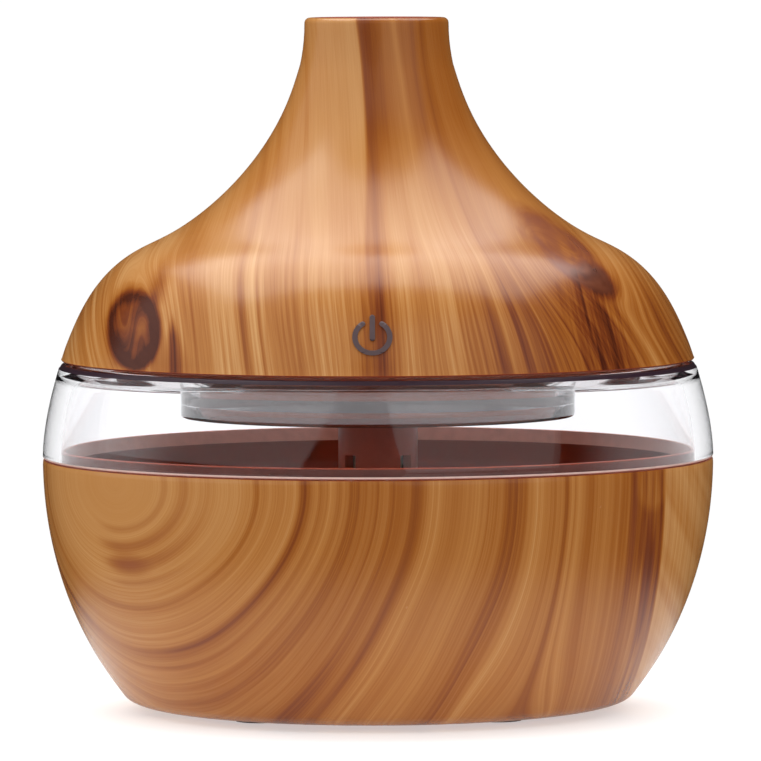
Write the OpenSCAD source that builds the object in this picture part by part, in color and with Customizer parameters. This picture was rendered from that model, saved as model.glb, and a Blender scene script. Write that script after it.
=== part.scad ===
// Cool mist humidifier with a wood-grain body: a lower bowl and a clear window ring hold the water,
// and a lift-off head carries the wick, the mesh atomizer in its neck and the electronics.
// Millimetres, +Z up, origin at the centre of the foot plane. The power mark faces -Y.

/* [Body] */
// Largest outside diameter, at the bowl's rim
body_d = 110; // [108:1:112]
// Overall height with the feet
body_h = 113.5; // [112.5:0.5:114.5]
// Outside radius of the neck
neck_r = 11.8; // [11.6:0.1:12]
// Wall of the upper cover
cover_wall = 2; // [1.9:0.05:2.1]
// Wall of the lower bowl
bowl_wall = 2.2; // [2:0.1:2.3]
// Foot height below the bowl
foot_stand = 0.8; // [0.6:0.1:1]

/* [Window and neck ring] */
// Height of the joint between bowl and window ring
bowl_rim_z = 41.6; // [41:0.2:42]
// Wall of the window ring
window_wall = 3; // [2.8:0.1:3.2]
// Height of the window ring's top face
window_top_z = 57; // [56.8:0.1:57]
// Outside radius of the neck ring that hangs inside the window
throat_r = 32.3; // [32:0.1:33]
// Inside radius of the neck ring
throat_bore_r = 29.9; // [29.8:0.1:30]
// Height of the neck ring's lower edge
throat_bottom_z = 48.2; // [48:0.1:48.4]

/* [Wick] */
// Radius of the cotton wick
wick_r = 4.2; // [4:0.1:4.3]
// Inside radius of the wick tube
tube_bore_r = 4.7; // [4.6:0.05:4.8]
// Outside radius of the wick tube
tube_r = 6.5; // [6.4:0.05:6.5]
// Travel of the wick against its spring
wick_travel = 2; // [1:0.5:2]

/* [Electronics] */
// Width of the control board
board_w = 30; // [28:1:31]
// Length of the control board
board_l = 23.5; // [22:0.5:23.5]
// Number of coloured lamps on the lamp board
lamp_count = 6; // [3:1:6]
// Radius of the power mark's ring
mark_r = 3.18; // [3:0.02:3.4]

/* [Hidden] */
$fn = 96;

body_r = body_d / 2;
gap = 0.05;                  // running clearance of a fit
seam_gap = 0.5;              // shadow gap under the cover
edge = 0.5;                  // small edge rounding
mouth_edge = 0.9;            // rounding of the neck's rim

// The outer outline, as cubic curves from the neck's rim down to the foot of the bowl
flare_slope = 22;            // degrees below level where the flare turns into the shoulder
flare_point = [body_r - 18.6, 77];
seam_slope = 17;             // degrees from upright at the top of the window
seam_point = [body_r - 2.9, window_top_z];
heel_slope = 38.5;           // degrees from upright at the heel of the bowl
heel_point = [body_r - 13.1, foot_stand + 1.9];
sole_r = body_r - 21.5;

flare_dir = [cos(flare_slope), -sin(flare_slope)];
seam_dir = [sin(seam_slope), -cos(seam_slope)];
heel_dir = [-sin(heel_slope), -cos(heel_slope)];

cover_bottom_z = window_top_z + seam_gap;
base_z = window_top_z + 0.3; // underside of the head's base plate
base_top_z = base_z + 2;
floor_z = foot_stand + 2.4;  // inside floor of the bowl

// Lip of the bowl that centres the window ring
lip_r = body_r - window_wall - 0.1;
lip_top_z = bowl_rim_z + 1.6;

// Plug under the head, and the hub that takes the wick tube
plug_r = throat_bore_r - 0.6;
plug_wall = 2;
plug_z = 49.8;
plug_floor_z = plug_z + 1.8;
boss_circle_r = plug_r - plug_wall - 1.4;
hub_r = 10.5;
hub_top_z = plug_floor_z + 1.6;
hub_bore_r = tube_r + 0.06;

// Seal in the neck ring
seal_z = 50.6;
seal_h = 2.2;
seal_groove_r = throat_bore_r + 1;

// Wick tube, its spring and the wick
tube_bottom_z = 6;
tube_top_z = hub_top_z - 0.3;
spring_z = 8;
spring_h = 6;
spring_wire_r = 0.3;
wick_bottom_z = spring_z + spring_h + 0.1;

// Atomizer stack in the neck
cup_floor_z = 101.6;
cup_r = 9.4;
cup_bore_r = 8.3;
gasket_z = cup_floor_z + 1.6;
gasket_h = 1.5;
disc_z = gasket_z + gasket_h;
disc_h = 0.65;
disc_r = 7.6;
mesh_h = 0.15;
mesh_z = disc_z - mesh_h;
upper_gasket_z = disc_z + disc_h;
nozzle_z = upper_gasket_z + gasket_h + 0.05;
nozzle_top_z = body_h - 0.8;
wick_top_z = mesh_z - 0.3;

// Boards
board_y = 20;
board_z = base_top_z + 2.5;
board_t = 1.6;
board_top_z = board_z + board_t;
lamp_board_z = plug_floor_z + 3.8;
lamp_board_t = 1.2;
lamp_circle_r = 18.5;
post_circle_r = 41;
touch_y = -42;
mark_x = -0.8;
mark_z = 63.4;

brown = [0.30, 0.15, 0.08];
tan = [0.76, 0.54, 0.35];

// ---- helpers ----

function curve(a, b, c, d, n) =
    [for (i = [0 : n]) let (t = i / n)
        pow(1 - t, 3) * a + 3 * pow(1 - t, 2) * t * b + 3 * (1 - t) * t * t * c + pow(t, 3) * d];
function flip(p) = [for (i = [len(p) - 1 : -1 : 0]) p[i]];
function tail(p) = [for (i = [1 : len(p) - 1]) p[i]];
function unit(v) = v / norm(v);
function along(p, i) = unit(p[min(i + 1, len(p) - 1)] - p[max(i - 1, 0)]);
// An outline that runs downwards, moved towards the axis by d
function inset(p, d) = [for (i = [0 : len(p) - 1]) let (t = along(p, i)) p[i] + d * [t[1], -t[0]]];
function arc(c, r, a0, a1, n) =
    [for (i = [0 : n]) let (a = a0 + (a1 - a0) * i / n) c + r * [cos(a), sin(a)]];
// The radius of an outline at height z
function r_at(p, z) = lookup(z, [for (q = flip(p)) [q[1], q[0]]]);

// A smooth line through chosen points
function catmull(a, b, c, d, t) =
    0.5 * (2 * b + t * (c - a) + t * t * (2 * a - 5 * b + 4 * c - d)
        + t * t * t * (3 * b - a - 3 * c + d));
function smooth(p, n) = concat(
    [for (i = [0 : len(p) - 2], k = [0 : n - 1])
        catmull(p[max(i - 1, 0)], p[i], p[i + 1], p[min(i + 2, len(p) - 1)], k / n)],
    [p[len(p) - 1]]);

// A closed tube along a line. ref is a direction that the line never runs along.
module tube_along(line, r, ref, sides = 8) {
    rings = len(line);
    points = [for (i = [0 : rings - 1])
        let (t = along(line, i), u = unit(cross(t, ref)), v = cross(t, u))
        for (k = [0 : sides - 1]) line[i] + r * (cos(360 * k / sides) * u + sin(360 * k / sides) * v)];
    walls = [for (i = [0 : rings - 2], k = [0 : sides - 1]) let (a = i * sides + k, b = i * sides + (k + 1) % sides)
        each [[a, a + sides, b + sides], [a, b + sides, b]]];
    start = [for (k = [0 : sides - 1]) k];
    end = [for (k = [sides - 1 : -1 : 0]) (rings - 1) * sides + k];
    polyhedron(points, concat(walls, [start, end]), convexity = 6);
}

function helix(r, h, turns, per_turn = 14) =
    [for (i = [0 : turns * per_turn]) let (a = 360 * i / per_turn)
        [r * cos(a), r * sin(a), h * i / (turns * per_turn)]];

module ring(r_in, r_out, z, h) {
    rotate_extrude() translate([r_in, z]) square([r_out - r_in, h]);
}

module disc(r, z, h) {
    translate([0, 0, z]) cylinder(r = r, h = h);
}

module spin(outline) {
    rotate_extrude() polygon(outline);
}

module block(x, y, z, size) {
    translate([x - size[0] / 2, y - size[1] / 2, z]) cube(size);
}

module around(count, r, start = 0) {
    for (i = [0 : count - 1]) rotate([0, 0, start + 360 * i / count]) translate([r, 0, 0]) children();
}

// A pan-head screw that points down from its head's seat at z = 0
module screw(head_r, shank_r, length) {
    difference() {
        cylinder(r = head_r, h = head_r * 0.6);
        block(0, 0, head_r * 0.3, [head_r * 1.2, head_r * 0.3, head_r]);
        block(0, 0, head_r * 0.3, [head_r * 0.3, head_r * 1.2, head_r]);
    }
    translate([0, 0, -length]) cylinder(r1 = shank_r * 0.4, r2 = shank_r, h = shank_r * 2);
    translate([0, 0, shank_r * 2 - length]) cylinder(r = shank_r, h = length - shank_r * 2);
}

// ---- outlines ----

cover_line = concat(
    arc([neck_r - mouth_edge, body_h - mouth_edge], mouth_edge, 90, 0, 5),
    tail(curve([neck_r, body_h - mouth_edge], [neck_r, body_h - 19.4],
        flare_point - 8.9 * flare_dir, flare_point, 22)),
    tail(curve(flare_point, flare_point + 7.5 * flare_dir, seam_point - 13.1 * seam_dir, seam_point, 18)));
window_line = curve(seam_point, seam_point + 4.5 * seam_dir,
    [body_r, bowl_rim_z + 5], [body_r, bowl_rim_z], 10);
bowl_line = concat(
    curve([body_r, bowl_rim_z], [body_r, bowl_rim_z - 14.2], heel_point - 14.1 * heel_dir, heel_point, 22),
    tail(curve(heel_point, heel_point + 2.3 * heel_dir, [sole_r + 2, foot_stand], [sole_r, foot_stand], 8)));

cover_inner_line = [for (p = inset(tail(tail(tail(tail(tail(cover_line))))), cover_wall))
    if (p[1] > cover_bottom_z + 0.4) p];
cover_outer_line = [for (p = cover_line) if (p[1] > cover_bottom_z + edge + 0.2) p];
cover_bottom_r = r_at(cover_line, cover_bottom_z);

// ---- water tank ----

module lower_bowl() {
    inner = [for (p = inset(bowl_line, bowl_wall)) [p[0], max(p[1], floor_z)]];
    outline = concat(
        [[body_r - edge, bowl_rim_z - 0.1], [body_r - 0.15, bowl_rim_z - 0.25]],
        [for (p = bowl_line) if (p[1] < bowl_rim_z - 0.6) p],
        [[0, foot_stand], [0, floor_z]],
        flip([for (p = inner) if (p[1] < bowl_rim_z - 3.4) p]),
        [[lip_r - 1.2, bowl_rim_z - 0.6], [lip_r - 0.6, lip_top_z], [lip_r - 0.15, lip_top_z],
         [lip_r, lip_top_z - 0.15], [lip_r, bowl_rim_z - 0.1]]);
    color(tan) difference() {
        spin(outline);
        around(4, 27, 45) disc(4.7, -1, foot_stand + 1.7);
    }
}

module bowl_feet() {
    color("dimgray") around(4, 27, 45) {
        disc(4.5, 0.4, foot_stand + 0.3);
        translate([0, 0, 0]) cylinder(r1 = 4.1, r2 = 4.5, h = 0.4);
    }
}

module tank_window() {
    flange_z = window_top_z - 1.2;
    outer = [for (p = window_line) if (p[1] < window_top_z - 0.6 && p[1] > bowl_rim_z + 0.5) p];
    inner = [for (p = inset(window_line, window_wall)) if (p[1] < flange_z - 1.2 && p[1] > bowl_rim_z + 0.5) p];
    shelf_r = r_at(window_line, flange_z) - window_wall;
    outline = concat(
        [[seam_point[0] - 0.6, window_top_z], [seam_point[0] - 0.1, window_top_z - 0.25]],
        outer,
        [[body_r - 0.12, bowl_rim_z + 0.2], [body_r - edge, bowl_rim_z], [body_r - window_wall, bowl_rim_z]],
        flip(inner),
        [[shelf_r - 0.3, flange_z - 0.5], [shelf_r - 0.9, flange_z],
         [throat_r + 0.5, flange_z], [throat_r, flange_z - 0.5],
         [throat_r, throat_bottom_z + 0.5], [throat_r - 0.5, throat_bottom_z],
         [throat_bore_r + 0.4, throat_bottom_z], [throat_bore_r, throat_bottom_z + 0.4],
         [throat_bore_r, seal_z - gap], [seal_groove_r, seal_z - gap],
         [seal_groove_r, seal_z + seal_h + gap], [throat_bore_r, seal_z + seal_h + gap],
         [throat_bore_r, window_top_z - 0.6], [throat_bore_r + 0.6, window_top_z]]);
    color("lightcyan", 0.4) spin(outline);
}

module neck_seal() {
    lip_r = plug_r + gap;
    outer_r = seal_groove_r - gap;
    color("gainsboro") spin([
        [outer_r, seal_z], [outer_r, seal_z + seal_h], [lip_r + 0.5, seal_z + seal_h],
        [lip_r, seal_z + seal_h - 0.4], [lip_r, seal_z + seal_h - 0.8], [lip_r + 0.4, seal_z + seal_h / 2],
        [lip_r, seal_z + 0.8], [lip_r, seal_z + 0.4], [lip_r + 0.5, seal_z]]);
}

// ---- wick and its tube ----

module wick_tube() {
    collar_z = plug_z - 2.2;
    color(brown) difference() {
        union() {
            ring(tube_bore_r, tube_r, tube_bottom_z, tube_top_z - tube_bottom_z);
            ring(tube_r - 0.5, 8.6, collar_z, 1.9);
            around(12, 8.6) disc(0.35, collar_z, 1.9);
        }
        for (z = [16, 31]) around(4, tube_r, 45) block(0, 0, z, [6, 2.4, 11]);
    }
}

module wick_tube_cap() {
    color(brown) difference() {
        union() {
            disc(tube_r, tube_bottom_z - 1.4, 1.4);
            ring(tube_bore_r - 1.3, tube_bore_r - gap, tube_bottom_z, spring_z - tube_bottom_z);
            disc(tube_bore_r - 1, tube_bottom_z, 0.8);
        }
        disc(1.5, 0, 10);
    }
}

module wick_spring() {
    color("silver") translate([0, 0, spring_z + spring_wire_r + 0.01])
        tube_along(helix(tube_bore_r - 1.1, spring_h - 2 * spring_wire_r - 0.02, 5), spring_wire_r, [0, 0, 1]);
}

module cotton_wick() {
    color("ivory") spin([
        [0, wick_bottom_z], [wick_r - 0.5, wick_bottom_z], [wick_r, wick_bottom_z + 0.5],
        [wick_r, wick_top_z - 0.5], [wick_r - 0.5, wick_top_z], [0, wick_top_z]]);
}

// ---- head: casing ----

module upper_cover() {
    port_z = board_top_z + 1.3;
    throat = neck_r - cover_wall;
    outline = concat(
        cover_outer_line,
        [[cover_bottom_r - 0.1, cover_bottom_z + 0.3], [cover_bottom_r - 0.4, cover_bottom_z],
         [cover_bottom_r - cover_wall, cover_bottom_z]],
        flip(cover_inner_line),
        [[throat, body_h - edge], [throat + edge, body_h]]);
    core = concat([[0, body_h]], inset(cover_outer_line, cover_wall / 2), [[0, cover_bottom_z]]);
    color(tan) difference() {
        union() {
            spin(outline);
            intersection() {
                spin(core);
                around(4, post_circle_r, 45) disc(2.8, base_top_z + 0.05, 20);
            }
        }
        around(4, post_circle_r, 45) disc(1.25, base_top_z - 1, 9.5);
        translate([0, 0, port_z]) rotate([-90, 0, 0]) translate([0, 0, 30]) port_hole();
    }
}

// Round-ended hole for the lead's plug, along +Z
module port_hole() {
    half = 3;
    for (side = [-1, 1]) translate([side * half, 0, 0]) cylinder(r = 3.4, h = 30);
    translate([-half, -3.4, 0]) cube([2 * half, 6.8, 30]);
}

module head_base() {
    color(brown) difference() {
        union() {
            spin([[plug_r - plug_wall, base_z], [49.75, base_z], [49.05, base_top_z], [plug_r - plug_wall, base_top_z]]);
            ring(45.6, 47, base_top_z - 0.1, 2.2);
            spin([[plug_r - plug_wall, plug_z], [plug_r - 0.5, plug_z], [plug_r, plug_z + 0.5],
                  [plug_r, base_z + 0.5], [plug_r - plug_wall, base_z + 0.5]]);
            ring(hub_bore_r, plug_r - plug_wall + 0.1, plug_z, plug_floor_z - plug_z);
            ring(hub_bore_r, hub_r, plug_z, hub_top_z - plug_z);
            around(3, boss_circle_r, 30) disc(1.6, plug_z, lamp_board_z - plug_z);
            for (x = [-1, 1], y = [4, 20]) block(x * 11.5, board_y + y, base_top_z - 0.1, [3.6, 3.6, 2.6]);
            for (x = [-1, 1]) block(x * 6.6, touch_y + 0.5, base_top_z - 0.1, [1.8, 3.4, 5]);
        }
        for (i = [0 : 2]) rotate([0, 0, 40 + 120 * i])
            rotate_extrude(angle = 100) translate([12, plug_z - 1]) square([11, 4]);
        around(4, post_circle_r, 45) {
            disc(1.5, base_z - 1, 4);
            disc(2.7, base_z - 1, 2.3);
        }
        around(3, boss_circle_r, 30) disc(0.75, plug_floor_z, 6);
        around(2, 8.5) disc(0.75, plug_floor_z - 1, 6);
        for (x = [-1, 1]) translate([x * 11.5, board_y + (x > 0 ? 4 : 20), base_top_z + 0.2]) cylinder(r = 0.9, h = 4);
        for (x = [-1, 1]) block(x * 5.2, touch_y + 0.5, base_top_z + 0.05, [2, 1.1, 8]);
    }
}

// Tube inside the head that leads the wick up to the atomizer, with the atomizer's cup on top
module wick_guide() {
    flange_z = hub_top_z + gap;
    color("whitesmoke") difference() {
        union() {
            ring(tube_bore_r, hub_r - 0.2, flange_z, 1.6);
            ring(tube_bore_r, 6.3, flange_z, cup_floor_z - flange_z);
            spin([[tube_bore_r, cup_floor_z - 3], [6.3, cup_floor_z - 3], [cup_r, cup_floor_z],
                  [cup_r, upper_gasket_z + gasket_h], [cup_bore_r, upper_gasket_z + gasket_h],
                  [cup_bore_r, gasket_z], [tube_bore_r, gasket_z]]);
        }
        around(2, 8.5) disc(0.9, flange_z - 1, 4);
        block(0, cup_r, cup_floor_z + 0.2, [4, 4, 20]);
    }
}

module mist_nozzle() {
    outer_r = neck_r - cover_wall - gap;
    color(brown) spin([
        [5.4, nozzle_z], [outer_r, nozzle_z], [outer_r, nozzle_top_z - 0.4], [outer_r - 0.4, nozzle_top_z],
        [8.9, nozzle_top_z], [8.3, nozzle_top_z - 0.6], [7.6, nozzle_z + 2.6], [5.4, nozzle_z + 0.7]]);
}

// ---- head: atomizer ----

module atomizer_ring() {
    color("goldenrod") ring(3.8, disc_r, disc_z, disc_h);
}

module atomizer_mesh() {
    dome = 0.45;
    color("silver") spin([
        [0, mesh_z + dome], [1.2, mesh_z + dome * 0.8], [2.4, mesh_z], [5.2, mesh_z], [5.2, disc_z],
        [2.3, disc_z], [1.1, disc_z + dome * 0.8], [0, disc_z + dome]]);
}

module lower_gasket() {
    color("gainsboro") ring(5.6, cup_bore_r - 0.1, gasket_z, gasket_h);
}

module upper_gasket() {
    color("gainsboro") ring(5.6, cup_bore_r - 0.1, upper_gasket_z, gasket_h);
}

// ---- head: lamps ----

module light_lens() {
    color("white", 0.6) difference() {
        ring(hub_r + 0.1, boss_circle_r - 1.9, plug_floor_z, 1.2);
        ring(14, 21, plug_floor_z + 0.8, 1);
    }
}

module lamp_board() {
    color("white") difference() {
        ring(13, plug_r - plug_wall - 0.2, lamp_board_z, lamp_board_t);
        around(3, boss_circle_r, 30) disc(0.9, lamp_board_z - 1, 4);
    }
}

module lamps() {
    color("lightyellow") around(lamp_count, lamp_circle_r) {
        difference() {
            block(0, 0, lamp_board_z - 1.6, [5, 5, 1.6]);
            disc(1.9, lamp_board_z - 2, 0.9);
        }
    }
}

module lamp_board_screws() {
    color("silver") around(3, boss_circle_r, 30)
        translate([0, 0, lamp_board_z + lamp_board_t]) screw(1.3, 0.7, 4);
}

// ---- head: control electronics ----

module control_board() {
    color("darkgreen") difference() {
        block(0, board_y + board_l / 2, board_z, [board_w, board_l, board_t]);
        for (x = [-1, 1], y = [4, 20]) translate([x * 11.5, board_y + y, board_z - 1]) cylinder(r = 1.1, h = 4);
    }
}

module control_chip() {
    color("black") {
        block(-4, board_y + 10, board_top_z + 0.2, [4, 9.9, 1.5]);
        for (side = [-1, 1], i = [-3 : 3])
            block(-4 + side * 2.6, board_y + 10 + i * 1.27, board_top_z, [1.2, 0.4, 0.7]);
    }
}

module inductor() {
    color("dimgray") translate([5, board_y + 8, board_top_z]) {
        cylinder(r = 3.2, h = 1);
        cylinder(r = 2.3, h = 4.2);
        translate([0, 0, 3.4]) cylinder(r = 3.2, h = 1);
    }
}

module capacitors() {
    color("silver") {
        translate([5.5, board_y + 15.5, board_top_z]) cylinder(r = 2.5, h = 5.4);
        translate([11.5, board_y + 12, board_top_z]) cylinder(r = 2, h = 5.4);
        for (i = [0 : 3]) block(-7 + i * 2.2, board_y + 18, board_top_z, [1, 1.8, 0.8]);
    }
}

module lead_connectors() {
    color("whitesmoke") for (p = [[-11.3, 12], [-3.5, 2.6], [3.5, 2.6]]) difference() {
        block(p[0], board_y + p[1], board_top_z, [4.6, 3.6, 3.4]);
        block(p[0], board_y + p[1], board_top_z + 1, [3.4, 2.2, 3]);
    }
}

module usb_outline(w, h, cut) {
    polygon([[-w / 2, h], [w / 2, h], [w / 2, cut], [w / 2 - cut, 0], [-w / 2 + cut, 0], [-w / 2, cut]]);
}

module usb_socket_shell() {
    color("silver") translate([0, 46.8, board_top_z]) rotate([90, 0, 0]) difference() {
        linear_extrude(5.2) usb_outline(7.6, 2.6, 0.9);
        translate([0, 0.3, -1]) linear_extrude(5.2) usb_outline(7, 2, 0.7);
    }
}

module usb_socket_tongue() {
    color("black") {
        block(0, 44.8, board_top_z + 1.35, [4.4, 3.8, 0.55]);
        block(0, 42.95, board_top_z + 0.45, [5.4, 0.5, 1.7]);
    }
}

module touch_board() {
    color("darkgreen") block(0, touch_y + 0.5, base_top_z + 0.1, [11, 1, 9]);
}

module touch_spring() {
    wire_r = 0.22;
    color("orange") translate([0, touch_y - wire_r, mark_z - 0.7]) rotate([90, 0, 0])
        tube_along(helix(1.9, 3.1, 4), wire_r, [0, 0, 1]);
}

// ---- printed mark ----

module power_sign() {
    stroke = 0.84;
    mid_r = mark_r - stroke / 2;
    from = 90 - 33;              // the ring is open for 33 degrees on each side of the top
    to = -270 + 33;
    polygon(concat(
        arc([0, 0], mark_r, from, to, 36),
        arc(mid_r * [cos(to), sin(to)], stroke / 2, to - 36, to - 144, 3),
        arc([0, 0], mark_r - stroke, to, from, 36),
        arc(mid_r * [cos(from), sin(from)], stroke / 2, from + 144, from + 36, 3)));
    polygon(concat(
        arc([0, 3.45], stroke / 2, 0, 180, 6),
        arc([0, -0.25], stroke / 2, 180, 360, 6)));
}

module power_mark() {
    ink = 0.12;
    line = [for (p = cover_line) if (p[1] < mark_z + 9 && p[1] > mark_z - 6) p];
    top = line[0][1];
    bottom = line[len(line) - 1][1];
    color("dimgray") difference() {
        intersection() {
            spin(concat([[0, top]], inset(line, -ink), [[0, bottom]]));
            translate([mark_x, -40, mark_z]) rotate([90, 0, 0]) linear_extrude(20) power_sign();
        }
        spin(concat([[0, top + 1], line[0] + [0, 1]], line, [line[len(line) - 1] - [0, 1], [0, bottom - 1]]));
    }
}

// ---- leads inside the head ----

atomizer_route = [[-11.3, 32, 65], [-11.3, 31.5, 69.5], [-7, 22, 72], [-1.5, 12, 76], [0, 8.2, 84],
    [0, 7.8, 92], [0, 9.6, 98], [0, 10.4, 101.6], [0, 9.9, 104.2], [0, 8.6, 105]];
lamp_route = [[-3.5, 22.6, 65], [-3.5, 21.8, 68.4], [-3.5, 17.8, 67], [-3.5, 16.8, 62],
    [-3.5, 17.6, 58], [-3.5, 17.6, 56.7]];
touch_route = [[3.5, 22.6, 65], [4, 21, 68.6], [10, 14, 66.5], [16.5, 4, 62], [16.5, -10, 60.8],
    [12, -24, 60.8], [6, -36, 61.5], [2.5, -39.4, 62.6], [2, -40.7, 62.8]];

module lead_pair(route, wire_r = 0.5) {
    for (side = [-1, 1])
        tube_along(smooth([for (p = route) p + [side * 0.75, 0, 0]], 3), wire_r, [0.9, 0.2, 0.1]);
}

module atomizer_leads() {
    color("firebrick") lead_pair(atomizer_route);
}

module lamp_leads() {
    color("whitesmoke") lead_pair(lamp_route);
}

module touch_leads() {
    color("gold") lead_pair(touch_route);
}

// ---- fasteners ----

module base_screws() {
    color("silver") around(4, post_circle_r, 45) translate([0, 0, base_z + 1.3]) mirror([0, 0, 1]) {
        translate([0, 0, 0.02]) screw(2.1, 1.2, 8);
    }
}

module board_screws() {
    color("silver") for (x = [-1, 1])
        translate([x * 11.5, board_y + (x > 0 ? 4 : 20), board_top_z]) screw(1.9, 0.85, 3.8);
}

module guide_screws() {
    color("silver") around(2, 8.5) translate([0, 0, hub_top_z + gap + 1.6]) screw(1.4, 0.7, 3.4);
}

lower_bowl();
bowl_feet();
tank_window();
neck_seal();
wick_tube();
wick_tube_cap();
wick_spring();
cotton_wick();
upper_cover();
head_base();
wick_guide();
mist_nozzle();
atomizer_ring();
atomizer_mesh();
lower_gasket();
upper_gasket();
light_lens();
lamp_board();
lamps();
lamp_board_screws();
control_board();
control_chip();
inductor();
capacitors();
lead_connectors();
usb_socket_shell();
usb_socket_tongue();
touch_board();
touch_spring();
power_mark();
atomizer_leads();
lamp_leads();
touch_leads();
base_screws();
board_screws();
guide_screws();
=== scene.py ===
# %% [markdown]
# # A wood-grain cool mist humidifier
# This lesson dresses a small desktop humidifier that already has its real size and its moving
# bodies. The object is a flared cover with a tall neck, a clear window band and a round bowl.
# The plan: spin smooth shells for what is seen, give every piece a finish made of nodes, then
# set a plain studio. All lengths are written in millimetres and turned into metres by MM.

# %% Open the frame
import math
import bmesh
import bpy
from mathutils import Matrix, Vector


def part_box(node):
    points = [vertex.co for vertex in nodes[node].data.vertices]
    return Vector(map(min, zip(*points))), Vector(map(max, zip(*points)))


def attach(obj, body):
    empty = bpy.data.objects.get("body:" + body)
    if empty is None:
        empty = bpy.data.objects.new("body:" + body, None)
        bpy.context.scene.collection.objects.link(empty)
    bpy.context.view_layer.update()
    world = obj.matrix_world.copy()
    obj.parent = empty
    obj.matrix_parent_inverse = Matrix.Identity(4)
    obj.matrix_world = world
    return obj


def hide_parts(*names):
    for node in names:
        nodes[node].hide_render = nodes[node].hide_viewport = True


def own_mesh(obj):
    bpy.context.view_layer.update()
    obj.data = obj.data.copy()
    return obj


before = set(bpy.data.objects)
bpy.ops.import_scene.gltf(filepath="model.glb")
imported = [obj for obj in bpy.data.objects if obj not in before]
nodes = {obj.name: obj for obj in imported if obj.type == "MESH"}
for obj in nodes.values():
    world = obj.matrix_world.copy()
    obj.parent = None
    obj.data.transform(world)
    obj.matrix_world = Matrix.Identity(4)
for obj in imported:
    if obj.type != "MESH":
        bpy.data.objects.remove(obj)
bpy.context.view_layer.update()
MM = 0.001

# %% [markdown]
# ## The camera
# A long lens a little above the neck gives nearly parallel sides and shows the window ring as a
# shallow smile. The camera is made first so that every later step can be judged through it.

# %% Camera
CAMERA_BACK = 1300
CAMERA_UP = 131
LOOK_UP = 54
CAMERA_ASIDE = 0.72
FOCAL = 375.7
SENSOR = 36
ROLL = 0.2
FAR_CLIP = 100

camera_data = bpy.data.cameras.new("camera")
camera_data.lens = FOCAL
camera_data.sensor_width = SENSOR
camera_data.clip_end = FAR_CLIP
camera = bpy.data.objects.new("camera", camera_data)
bpy.context.scene.collection.objects.link(camera)
bpy.context.scene.camera = camera
camera.location = (CAMERA_ASIDE * MM, -CAMERA_BACK * MM, CAMERA_UP * MM)
tilt = math.atan2(CAMERA_UP - LOOK_UP, CAMERA_BACK)
camera.rotation_euler = (math.radians(90) - tilt, math.radians(ROLL), 0)
print("camera tilt, degrees:", round(math.degrees(tilt), 2))

# %% [markdown]
# ## The outline
# The whole body is round, so its shape is one line from the neck's rim to the sole. It could be
# traced by many points, but a few cubic curves are smoother and easy to read: each has two ends
# and two handles, and neighbours share a direction so that no crease shows.

# %% Outline of the body
BODY_R = 54.95
NECK_R = 11.8
BODY_H = 113.5
MOUTH_EDGE = 0.9
FOOT = 0.8
WINDOW_TOP = 57
COVER_BOTTOM = 57.5
RIM = 41.6


def curve(a, b, c, d, steps):
    """Points along a cubic curve from a to d with the handles b and c."""
    points = []
    for i in range(steps + 1):
        t = i / steps
        weights = ((1 - t) ** 3, 3 * (1 - t) ** 2 * t, 3 * (1 - t) * t * t, t ** 3)
        points.append(tuple(
            sum(w * p[k] for w, p in zip(weights, (a, b, c, d))) for k in (0, 1)))
    return points


def ahead(point, degrees, distance):
    """The point reached from another by going in a direction."""
    angle = math.radians(degrees)
    return (point[0] + distance * math.cos(angle), point[1] + distance * math.sin(angle))


def arc(centre, radius, start, end, steps):
    """Points along an arc, in degrees."""
    return [ahead(centre, start + (end - start) * i / steps, radius) for i in range(steps + 1)]


def soften(line, first, last, rounds):
    """Evens out the bend of a line between two of its points by averaging neighbours."""
    points = list(line)
    for _ in range(rounds):
        threes = zip(points[first - 1:], points[first:], points[first + 1:last + 1])
        middle = [tuple((a[k] + 2 * b[k] + c[k]) / 4 for k in (0, 1)) for a, b, c in threes]
        points[first:first + len(middle)] = middle
    return points


# %% Three lines
# Each named place has a point of (radius, height) and the direction of the line there.
FLARE, FLARE_DIR = (BODY_R - 18.6, 77), -22
SEAM, SEAM_DIR = (BODY_R - 2.9, WINDOW_TOP), -73
HEEL, HEEL_DIR = (BODY_R - 13.1, FOOT + 1.9), 231.5
SOLE = (BODY_R - 21.5, FOOT)

cover_line = (
    arc((NECK_R - MOUTH_EDGE, BODY_H - MOUTH_EDGE), MOUTH_EDGE, 90, 0, 6)
    + curve((NECK_R, BODY_H - MOUTH_EDGE), (NECK_R, BODY_H - 19.4),
            ahead(FLARE, FLARE_DIR, -8.9), FLARE, 40)[1:]
    + curve(FLARE, ahead(FLARE, FLARE_DIR, 7.5), ahead(SEAM, SEAM_DIR, -13.1), SEAM, 36)[1:])
SOFT_FROM, SOFT_ENDS, SOFT_ROUNDS = 12, 4, 14
cover_line = soften(cover_line, SOFT_FROM, len(cover_line) - SOFT_ENDS, SOFT_ROUNDS)
window_line = curve(SEAM, ahead(SEAM, SEAM_DIR, 4.5), (BODY_R, RIM + 5), (BODY_R, RIM), 18)
bowl_line = (
    curve((BODY_R, RIM), (BODY_R, RIM - 14.2), ahead(HEEL, HEEL_DIR, -14.1), HEEL, 44)
    + curve(HEEL, ahead(HEEL, HEEL_DIR, 2.3), (SOLE[0] + 2, FOOT), SOLE, 14)[1:])
print("outline points:", len(cover_line) + len(window_line) + len(bowl_line))

# %% Walls
def inside(line, wall):
    """The same line moved inwards by the wall, square to its own direction."""
    moved = []
    for i, (r, z) in enumerate(line):
        before, after = line[max(i - 1, 0)], line[min(i + 1, len(line) - 1)]
        run, drop = after[0] - before[0], after[1] - before[1]
        length = math.hypot(run, drop)
        moved.append((r + wall * drop / length, z - wall * run / length))
    return moved


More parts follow.
